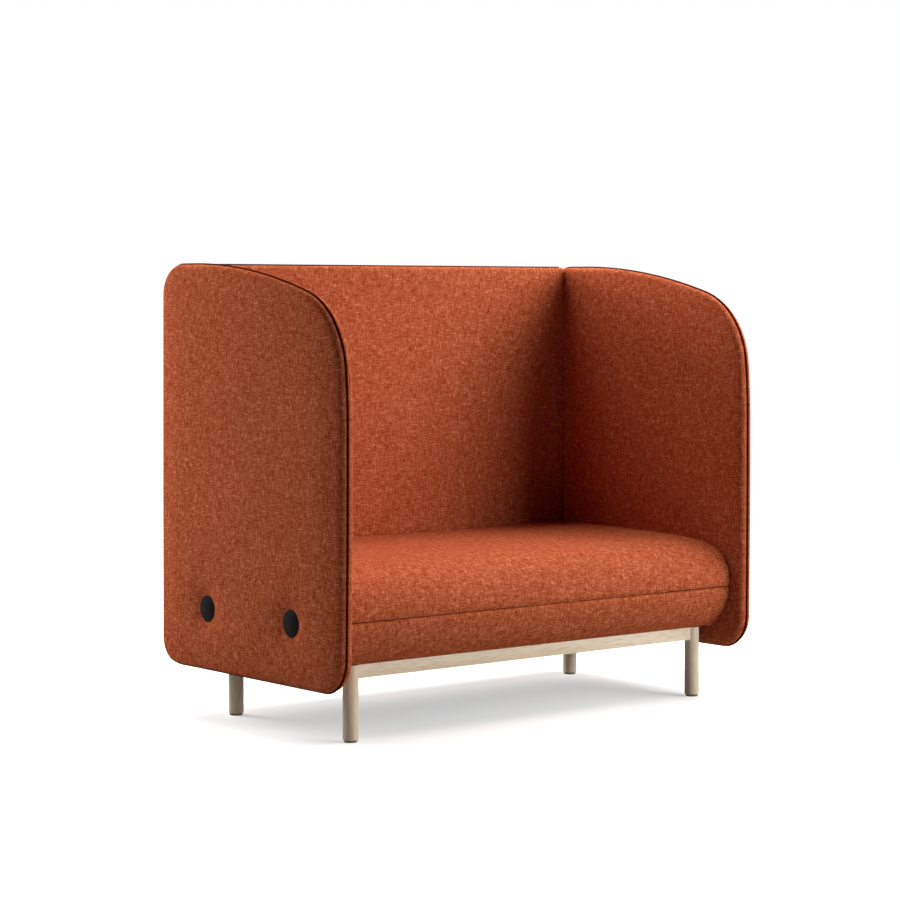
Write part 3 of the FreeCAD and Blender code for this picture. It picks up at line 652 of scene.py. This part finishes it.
def seat_profile():
    """Rows of the upper cover from rear to front seam, and of the lower cover back under the seat."""
    nose_top = turn(NOSE_TOP_RADIUS, CROWN_HEADING, NOSE_HEADING)
    nose = turn(NOSE_RADIUS, NOSE_HEADING, 90.0)
    keel = turn(KEEL_RADIUS, CHIN_HEADING, 180.0)
    crown_y = SEAT_HIGH.y - CROWN_SET_BACK
    crown_radius = (crown_y + nose_top[0] + nose[0] - SEAT_LOW.y) / math.sin(math.radians(CROWN_HEADING))
    nose_z = SEAT_HIGH.z + turn(crown_radius, 0.0, CROWN_HEADING)[1] + nose_top[1] + nose[1]
    chin_z = nose_z - NOSE_FLAT
    chin_radius = (chin_z + keel[1] - SEAT_LOW.z) / -math.cos(math.radians(CHIN_HEADING))
    keel_y = SEAT_LOW.y + turn(chin_radius, 90.0, CHIN_HEADING)[0] + keel[0]
    lean = math.degrees(math.asin((CROWN_SET_BACK - SEAT_REAR_RADIUS) / (crown_radius - SEAT_REAR_RADIUS)))
    rear_top = SEAT_HIGH.z - turn(crown_radius, 360.0 - lean, 360.0)[1]
    rear_top -= turn(SEAT_REAR_RADIUS, 270.0, 360.0 - lean)[1]
    upper_seam = math.degrees(math.acos((SEAM_UPPER_Z - chin_z) / chin_radius))
    lower_seam = math.degrees(math.acos((SEAM_LOWER_Z - chin_z) / chin_radius))
    rear = [(rear_top - SEAM_UPPER_Z, None), (SEAT_REAR_RADIUS, 360.0 - lean), (crown_radius, 360.0)]
    front = [
        (crown_radius, CROWN_HEADING),
        (NOSE_TOP_RADIUS, NOSE_HEADING),
        (NOSE_RADIUS, 90.0),
        (NOSE_FLAT, None),
        (chin_radius, upper_seam),
    ]
    under = [
        (chin_radius, CHIN_HEADING),
        (KEEL_RADIUS, 180.0),
        (DUST_LOW.y - keel_y, None),
        (DUST_HIGH.y - DUST_LOW.y, None),
        (SEAT_HIGH.y - SEAT_REAR_RADIUS - DUST_HIGH.y, None),
        (SEAT_REAR_RADIUS, 270.0),
        (SEAM_LOWER_Z - SEAT_LOW.z - SEAT_REAR_RADIUS, None),
    ]
    upper_rows = walk((SEAT_HIGH.y, SEAM_UPPER_Z), rear, 270.0)[:-1] + walk((crown_y, SEAT_HIGH.z), front)
    start_y = SEAT_LOW.y + turn(chin_radius, 90.0, lower_seam)[0]
    lower_rows = walk((start_y, SEAM_LOWER_Z), under, lower_seam)
    return finer_at_ends(upper_rows), finer_at_ends(lower_rows)


def finer_at_ends(rows):
    """Adds rows close to the seams at both ends of a profile."""
    def between(first, second, share):
        return tuple(a + (b - a) * share for a, b in zip(first, second))

    start = [between(rows[0], rows[1], share) for share in SEAM_SHARES]
    end = [between(rows[-1], rows[-2], share) for share in reversed(SEAM_SHARES)]
    return rows[:1] + start + rows[1:-1] + end + rows[-1:]


def seat_columns():
    """X of the seat's columns, finer round its ends and with one at each edge of the dust cover's opening."""
    half = SEAT_HIGH.x
    edge = half - SEAT_END_RADIUS
    opening = DUST_HIGH.x
    turns = [math.pi / 2 * i / END_STEPS for i in range(END_STEPS + 1)]
    ends = [half - SEAT_END_RADIUS * (1 - math.cos(angle)) for angle in turns]
    side_count = round((edge - opening) / SPACING)
    side = [edge + (opening - edge) * i / side_count for i in range(1, side_count + 1)]
    right = ends + side
    count = round(2 * opening / SPACING)
    middle = [-opening + 2 * opening * i / count for i in range(1, count)]
    return [-x for x in right] + middle + right[::-1]


def seam_inset(away, x):
    """How deep the cover is drawn in at a distance from its seam, with a slight pucker along it."""
    depth = SEAM_DEPTH + SEAM_PUCKER * math.sin(PUCKER_FINE * x) * math.sin(PUCKER_COARSE * x + 1.0)
    return depth * math.exp(-((away / SEAM_ROLL) ** 2))


def end_inset(away):
    """How far the rounded end of the seat is drawn in at a distance from it."""
    if away > SEAT_END_RADIUS:
        return 0.0
    return SEAT_END_RADIUS - math.sqrt(SEAT_END_RADIUS**2 - (SEAT_END_RADIUS - away) ** 2)


def rectangle(build, low, high, margin, z):
    """Four points of a level rectangle round a box."""
    x0, x1 = low.x - margin, high.x + margin
    y0, y1 = low.y - margin, high.y + margin
    return [build.add((x, y, z)) for x, y in ((x0, y0), (x1, y0), (x1, y1), (x0, y1))]


def seat_grid(build, rows, columns, seed, hold_bottom):
    """Columns of points that follow a profile, tucked in at the seams and rounded at the seat's ends."""
    lengths = [0.0]
    for first, second in zip(rows, rows[1:]):
        lengths.append(lengths[-1] + math.dist(first[:2], second[:2]))
    grid = []
    for x in columns:
        away_end = SEAT_HIGH.x - abs(x)
        column = []
        for row, length in zip(rows, lengths):
            away_seam = min(length, lengths[-1] - length)
            inset = seam_inset(away_seam, x) + end_inset(away_end)
            free = smooth((away_seam - HELD_WIDTH) / EASE_WIDTH)
            free *= smooth((away_end - HELD_WIDTH) / EASE_WIDTH)
            if hold_bottom and row[1] < SEAT_LOW.z + BOTTOM_HOLD:
                free = 0.0
            inset -= unevenness(x, length, seed) * free
            column.append(build.add((x, *moved_in(row, inset)), (x, length), free))
        grid.append(column)
    return grid


def seat_upper():
    """The upper cover with its foam, open below for the frame."""
    build = Builder()
    rows = seat_profile()[0]
    grid = seat_grid(build, rows, seat_columns(), 1.0, False)
    build.skin(grid, closed=False)
    build.fill(grid[0])
    build.fill(grid[-1])
    edge = [column[-1] for column in grid] + [column[0] for column in reversed(grid)]
    low = rectangle(build, FRAME_LOW, FRAME_HIGH, CLEARANCE, SEAM_UPPER_Z)
    high = rectangle(build, FRAME_LOW, FRAME_HIGH, CLEARANCE, FRAME_HIGH.z + CLEARANCE)
    build.fill(edge, [low])
    build.strip(low, high)
    build.faces.append(high)
    piece = build.finish("seat_upper")
    inflate(piece, CUSHION_PRESSURE, CUSHION_SWELL)
    return piece


def seat_lower():
    """The lower cover, open above for the frame and below for the dust cover."""
    build = Builder()
    rows = seat_profile()[1]
    columns = seat_columns()
    grid = seat_grid(build, rows, columns, 2.0, True)

    def in_opening(x, row):
        return abs(x) < DUST_HIGH.x and row[1] < SEAT_LOW.z + CLEARANCE and DUST_LOW.y < row[0] < DUST_HIGH.y

    for x0, x1, first, second in zip(columns, columns[1:], grid, grid[1:]):
        for i, (row, after) in enumerate(zip(rows, rows[1:])):
            middle = [(a + b) / 2 for a, b in zip(row, after)]
            if not in_opening((x0 + x1) / 2, middle):
                build.faces.append((first[i], first[i + 1], second[i + 1], second[i]))
    build.fill(grid[0])
    build.fill(grid[-1])
    opening = opening_loop(rows, columns, grid)
    floor_z = FRAME_LOW.z - CLEARANCE
    lip = [build.add(build.points[i][:2] + (floor_z,)) for i in opening]
    build.strip(opening, lip)
    low = rectangle(build, FRAME_LOW, FRAME_HIGH, CLEARANCE, floor_z)
    build.fill(low, [lip])
    high = rectangle(build, FRAME_LOW, FRAME_HIGH, CLEARANCE, SEAM_LOWER_Z)
    build.strip(low, high)
    edge = [column[0] for column in grid] + [column[-1] for column in reversed(grid)]
    build.fill(edge, [high])
    piece = build.finish("seat_lower")
    inflate(piece, PANEL_PRESSURE, UNDERSIDE_SWELL)
    return piece


def nearest(values, target):
    """Index of the value closest to a target."""
    return min(range(len(values)), key=lambda i: abs(values[i] - target))


def opening_loop(rows, columns, grid):
    """Points round the dust cover's opening, in order."""
    bottom = [row[0] if row[1] < SEAT_LOW.z + CLEARANCE else math.inf for row in rows]
    first, last = nearest(bottom, DUST_LOW.y), nearest(bottom, DUST_HIGH.y)
    left, right = nearest(columns, DUST_LOW.x), nearest(columns, DUST_HIGH.x)
    front_side = [grid[c][first] for c in range(left, right)]
    right_side = [grid[right][r] for r in range(first, last)]
    rear_side = [grid[c][last] for c in range(right, left, -1)]
    left_side = [grid[left][r] for r in range(last, first, -1)]
    return front_side + right_side + rear_side + left_side


# Materials


def linear(red, green, blue):
    """Colour of sRGB levels from 0 to 255, as a node's colour."""
    levels = []
    for value in (red, green, blue):
        share = value / 255
        levels.append(share / 12.92 if share <= 0.04045 else ((share + 0.055) / 1.055) ** 2.4)
    return (*levels, 1.0)


class Nodes:
    """A node tree and short ways to add nodes to it."""

    def __init__(self, tree):
        self.tree = tree

    def add(self, kind, inputs=None, **settings):
        node = self.tree.nodes.new("ShaderNode" + kind)
        for key, value in settings.items():
            setattr(node, key, value)
        for key, value in (inputs or {}).items():
            self.set(node.inputs[key], value)
        return node

    def set(self, socket, value):
        if isinstance(value, bpy.types.NodeSocket):
            self.tree.links.new(value, socket)
        else:
            socket.default_value = value

    def math(self, operation, first, second=0.0):
        return self.add("Math", {0: first, 1: second}, operation=operation).outputs[0]

    def vector(self, x, y, z=0.0):
        return self.add("CombineXYZ", {0: x, 1: y, 2: z}).outputs[0]

    def noise(self, vector, scale, detail, roughness=0.5):
        inputs = {"Vector": vector, "Scale": scale, "Detail": detail, "Roughness": roughness}
        return self.add("TexNoise", inputs).outputs[0]

    def ramp(self, value, stops):
        node = self.add("ValToRGB", {0: value})
        ramp = node.color_ramp
        while len(ramp.elements) < len(stops):
            ramp.elements.new(0.5)
        for element, (place, colour) in zip(ramp.elements, stops):
            element.position = place
            element.color = colour
        return node.outputs[0]

    def mix(self, factor, first, second, blend="MIX"):
        node = self.add("Mix", data_type="RGBA", blend_type=blend)
        self.set(node.inputs[0], factor)
        self.set(node.inputs[6], first)
        self.set(node.inputs[7], second)
        return node.outputs[2]

    def span(self, value, low, high, start=0.0, end=1.0):
        return self.add("MapRange", {0: value, 1: start, 2: end, 3: low, 4: high}).outputs[0]

    def place(self):
        return self.add("TexCoord").outputs["Object"]


class Paint(Nodes):
    """A node material with its main shader."""

    def __init__(self, name):
        self.material = bpy.data.materials.new(name)
        self.material.use_nodes = True
        super().__init__(self.material.node_tree)
        self.shader = self.tree.nodes["Principled BSDF"]

    def bump(self, height, strength, distance):
        node = self.add("Bump", {"Height": height, "Strength": strength, "Distance": distance})
        self.set(self.shader.inputs["Normal"], node.outputs[0])

    def finish(self, colour, roughness, **constants):
        self.set(self.shader.inputs["Base Color"], colour)
        self.set(self.shader.inputs["Roughness"], roughness)
        for key, value in constants.items():
            self.shader.inputs[key.replace("_", " ")].default_value = value
        return self.material


def rust_fabric():
    """Plain weave of mottled yarns: each yarn changes colour along its length."""
    paint = Paint("rust_fabric")
    cloth = paint.add("UVMap", uv_map="Weave").outputs[0]
    parts = paint.add("SeparateXYZ", {0: cloth})
    across = paint.math("MULTIPLY", parts.outputs[0], 1 / YARN_PITCH)
    along = paint.math("MULTIPLY", parts.outputs[1], 1 / YARN_PITCH)
    column = paint.math("FLOOR", across)
    row = paint.math("FLOOR", along)
    stretch = YARN_PITCH / STREAK_LENGTH
    warp_run = paint.math("MULTIPLY", along, stretch)
    warp_at = paint.vector(paint.math("MULTIPLY", column, YARN_STEP), warp_run)
    weft_run = paint.math("MULTIPLY", across, stretch)
    weft_at = paint.vector(weft_run, paint.math("MULTIPLY", row, YARN_STEP), WEFT_APART)
    warp = paint.noise(warp_at, 1.0, 1.0)
    weft = paint.noise(weft_at, 1.0, 1.0)
    over = paint.math("FLOORED_MODULO", paint.math("ADD", column, row), 2.0)
    yarn = paint.mix(paint.span(over, 0.3, 0.7), warp, weft)
    fibre = paint.noise(cloth, FIBRE_SCALE, 2.0, 0.6)
    value = paint.mix(FIBRE_SHARE, yarn, fibre)
    colour = paint.ramp(
        value,
        [
            (0.30, linear(118, 36, 8)),
            (0.44, linear(164, 75, 42)),
            (0.56, linear(190, 101, 68)),
            (0.70, linear(232, 146, 112)),
        ],
    )
    cloud = paint.span(paint.noise(paint.place(), 5.0, 3.0), 0.95, 1.05)
    colour = paint.mix(1.0, colour, paint.vector(cloud, cloud, cloud), "MULTIPLY")
    ridge = paint.math("SINE", paint.math("MULTIPLY", paint.math("FRACT", across), math.pi))
    rib = paint.math("SINE", paint.math("MULTIPLY", paint.math("FRACT", along), math.pi))
    pillow = paint.math("MULTIPLY", ridge, rib)
    height = paint.math("ADD", pillow, paint.math("MULTIPLY", value, 1.5))
    paint.bump(height, 0.55, 0.0006)
    roughness = paint.span(value, 0.95, 0.80)
    return paint.finish(colour, roughness, Specular_IOR_Level=0.0)


def ash(name, axis):
    """Pale oiled ash, with its grain along one axis."""
    paint = Paint(name)
    stretch = [1.0, 1.0, 1.0]
    stretch[axis] = 0.06
    place = paint.add("Mapping", {"Vector": paint.place(), "Scale": stretch}).outputs[0]
    figure = paint.noise(place, 38.0, 4.0, 0.55)
    pores = paint.noise(place, 420.0, 2.0, 0.6)
    tone = paint.ramp(
        figure,
        [(0.30, linear(219, 197, 167)), (0.50, linear(230, 211, 184)), (0.68, linear(237, 221, 197))],
    )
    pore_shade = paint.ramp(pores, [(0.34, linear(228, 221, 212)), (0.50, linear(255, 255, 255))])
    colour = paint.mix(0.8, tone, pore_shade, "MULTIPLY")
    height = paint.math("ADD", pores, paint.math("MULTIPLY", figure, 0.5))
    paint.bump(height, 0.18, 0.0004)
    return paint.finish(colour, paint.span(figure, 0.62, 0.48), Specular_IOR_Level=0.4)


def speckled(name, dark, light, scale, roughness, bump, **constants):
    """Material with fine grain and slightly uneven roughness, for moulded, cast and fibrous pieces."""
    paint = Paint(name)
    grain = paint.noise(paint.place(), scale, 4.0, 0.6)
    colour = paint.ramp(grain, [(0.35, dark), (0.65, light)])
    paint.bump(grain, bump, 0.0005)
    return paint.finish(colour, paint.span(grain, roughness - 0.06, roughness + 0.06), **constants)


def plywood():
    """Birch plywood with thin darker glue lines."""
    paint = Paint("plywood")
    place = paint.place()
    along = paint.add("Mapping", {"Vector": place, "Scale": (1.0, 0.08, 0.08)}).outputs[0]
    grain = paint.noise(along, 120.0, 3.0)
    layers = {"Vector": place, "Scale": 55.0, "Distortion": 0.6}
    wave = paint.add("TexWave", layers, bands_direction="DIAGONAL").outputs[1]
    tone = paint.ramp(grain, [(0.30, linear(196, 166, 124)), (0.70, linear(224, 199, 160))])
    lines = paint.ramp(wave, [(0.0, linear(178, 150, 118)), (0.25, linear(255, 255, 255))])
    colour = paint.mix(0.5, tone, lines, "MULTIPLY")
    paint.bump(grain, 0.15, 0.0004)
    return paint.finish(colour, paint.span(grain, 0.75, 0.6))


def paint_nodes(material, *names):
    for name in names:
        slots = frame["nodes"][name].data.materials
        slots.clear()
        slots.append(material)


def paint_cad():
    """Materials of the CAD nodes that stay."""
    zinc = (linear(150, 152, 156), linear(190, 192, 196))
    steel = speckled("zinc_steel", *zinc, 260.0, 0.36, 0.1, Metallic=1.0)
    soot = (linear(12, 10, 9), linear(22, 19, 17))
    black = speckled("black_button", *soot, 900.0, 0.5, 0.12, Specular_IOR_Level=0.02)
    glide = speckled("glide_plastic", linear(92, 80, 68), linear(116, 103, 90), 800.0, 0.55, 0.15)
    dust = speckled("dust_cloth", linear(22, 22, 24), linear(44, 44, 46), 600.0, 0.95, 0.5)
    web = speckled("webbing", linear(150, 132, 104), linear(196, 180, 150), 420.0, 0.9, 0.5)
    dowel = speckled("beech_dowel", linear(186, 140, 96), linear(208, 166, 122), 240.0, 0.6, 0.2)
    board = plywood()
    upright, along_x, along_y = ash("ash_upright", 2), ash("ash_along_x", 0), ash("ash_along_y", 1)
    corners = ("front_left", "front_right", "rear_left", "rear_right")
    paint_nodes(upright, *["leg_" + corner for corner in corners])
    paint_nodes(glide, *["glide_" + corner for corner in corners])
    paint_nodes(along_x, "front_rail", "rear_rail")
    paint_nodes(along_y, "left_rail", "right_rail")
    for wing in ("left_wing_", "right_wing_"):
        paint_nodes(black, wing + "button_front", wing + "button_rear")
        paint_nodes(board, wing + "board")
    paint_nodes(board, "back_board", "seat_bottom_board", "seat_front_board", "seat_rear_board")
    paint_nodes(board, "seat_left_end_board", "seat_right_end_board", "seat_centre_beam")
    paint_nodes(steel, "wing_studs", "wing_spacers", "wing_t_nuts")
    paint_nodes(steel, "back_bolts", "back_washers", "back_spacers", "back_t_nuts")
    paint_nodes(steel, "seat_frame_screws", "leg_inserts", "base_screws")
    paint_nodes(dust, "seat_dust_cover")
    paint_nodes(web, "seat_webbing")
    paint_nodes(dowel, "corner_dowels")


# Stage


def seen(nodes):
    """1 for rays that show the background: from the camera, off gloss and through glass."""
    path = nodes.add("LightPath")
    direct = nodes.math("MAXIMUM", path.outputs["Is Camera Ray"], path.outputs["Is Glossy Ray"])
    return nodes.math("MAXIMUM", direct, path.outputs["Is Transmission Ray"])


def floor():
    """Pale floor that fades to white away from the sofa and throws back less light than it shows."""
    mesh = bpy.data.meshes.new("floor")
    half = FLOOR_SIZE / 2
    corners = [(-half, -half, 0), (half, -half, 0), (half, half, 0), (-half, half, 0)]
    mesh.from_pydata(corners, [], [(0, 1, 2, 3)])
    piece = bpy.data.objects.new("floor", mesh)
    bpy.context.scene.collection.objects.link(piece)
    paint = Paint("floor")
    distance = paint.add("VectorMath", {0: paint.place()}, operation="LENGTH").outputs["Value"]
    glow = paint.span(distance, FLOOR_GLOW, 1.0, GLOW_START, GLOW_END)
    paint.set(paint.shader.inputs["Emission Strength"], paint.math("MULTIPLY", seen(paint), glow))
    paint.shader.inputs["Emission Color"].default_value = (1, 1, 1, 1)
    colour = paint.mix(seen(paint), linear(*FLOOR_BOUNCE), linear(*FLOOR_SHOWN))
    mesh.materials.append(paint.finish(colour, 0.9, Specular_IOR_Level=0.0))


def world():
    """White where it is seen, and a little light from all round."""
    space = bpy.data.worlds.new("studio")
    bpy.context.scene.world = space
    space.use_nodes = True
    nodes = Nodes(space.node_tree)
    background = nodes.tree.nodes["Background"]
    background.inputs["Color"].default_value = (1, 1, 1, 1)
    nodes.set(background.inputs["Strength"], nodes.span(seen(nodes), AMBIENT, 1.0))


def softbox(name, place, size, power):
    """A square lamp that faces the sofa."""
    lamp = bpy.data.lights.new(name, "AREA")
    lamp.shape = "SQUARE"
    lamp.size = size
    lamp.energy = power
    holder = bpy.data.objects.new(name, lamp)
    holder.location = place
    holder.rotation_euler = (Vector(AIM) - Vector(place)).to_track_quat("-Z", "Y").to_euler()
    bpy.context.scene.collection.objects.link(holder)


def camera():
    """Level camera: the photo's uprights are parallel, and its horizon is above the picture's middle."""
    lens = bpy.data.cameras.new("camera")
    lens.sensor_width = SENSOR_WIDTH
    lens.lens = LENS
    lens.shift_y = LENS_SHIFT
    lens.clip_end = CAMERA_REACH
    holder = bpy.data.objects.new("camera", lens)
    holder.location = CAMERA_PLACE
    holder.rotation_euler = (math.pi / 2, 0.0, CAMERA_TURN)
    bpy.context.scene.collection.objects.link(holder)
    bpy.context.scene.camera = holder


# The sofa

camera()
floor()
world()
softbox("front_right", (2.2, -4.2, 1.6), 1.8, 101.0)
softbox("right_front", (3.5, -3.0, 2.0), 2.0, 72.0)
softbox("rear_left", (-1.8, 4.0, 2.2), 1.8, 155.0)
softbox("left_near", (-2.2, 1.2, 1.2), 1.0, 15.0)
softbox("top_rear", (0.0, 1.6, 3.2), 2.0, 107.0)
softbox("top_right", (2.2, -0.8, 3.0), 1.8, 99.0)
bpy.context.scene.view_settings.view_transform = "Standard"

fabric = rust_fabric()
# The tapes' colour is painted shade: as dark as the shade in the grooves between the panels' halves.
tape = speckled("dark_tape", linear(70, 23, 12), linear(96, 35, 19), 700.0, 0.9, 0.4, Specular_IOR_Level=0.0)
paint_cad()
for side_name, side in (("left", -1), ("right", 1)):
    wing = side_name + "_wing_"
    outer = wing_half(wing + "outer", side, side, OUTER_FULLNESS, side + 2.0)
    finish_soft(outer, fabric, (wing + "outer_cover", wing + "outer_foam"))
    inner = wing_half(wing + "inner", side, -side, INNER_FULLNESS, side + 5.0)
    finish_soft(inner, fabric, (wing + "inner_cover", wing + "inner_foam"))
    finish_tape(wing_tape(wing + "tape", side), tape, wing + "seam_tape")
back_front = back_half("back_front", -1, INNER_FULLNESS, 3.0)
finish_soft(back_front, fabric, ("back_front_cover", "back_front_foam"))
back_rear = back_half("back_rear", 1, OUTER_FULLNESS, 4.0)
finish_soft(back_rear, fabric, ("back_rear_cover", "back_rear_foam"))
finish_tape(back_tapes("back_tapes"), tape, "back_seam_tapes")
finish_soft(seat_upper(), fabric, ("seat_upper_cover", "seat_foam"))
finish_soft(seat_lower(), fabric, ("seat_lower_cover",))
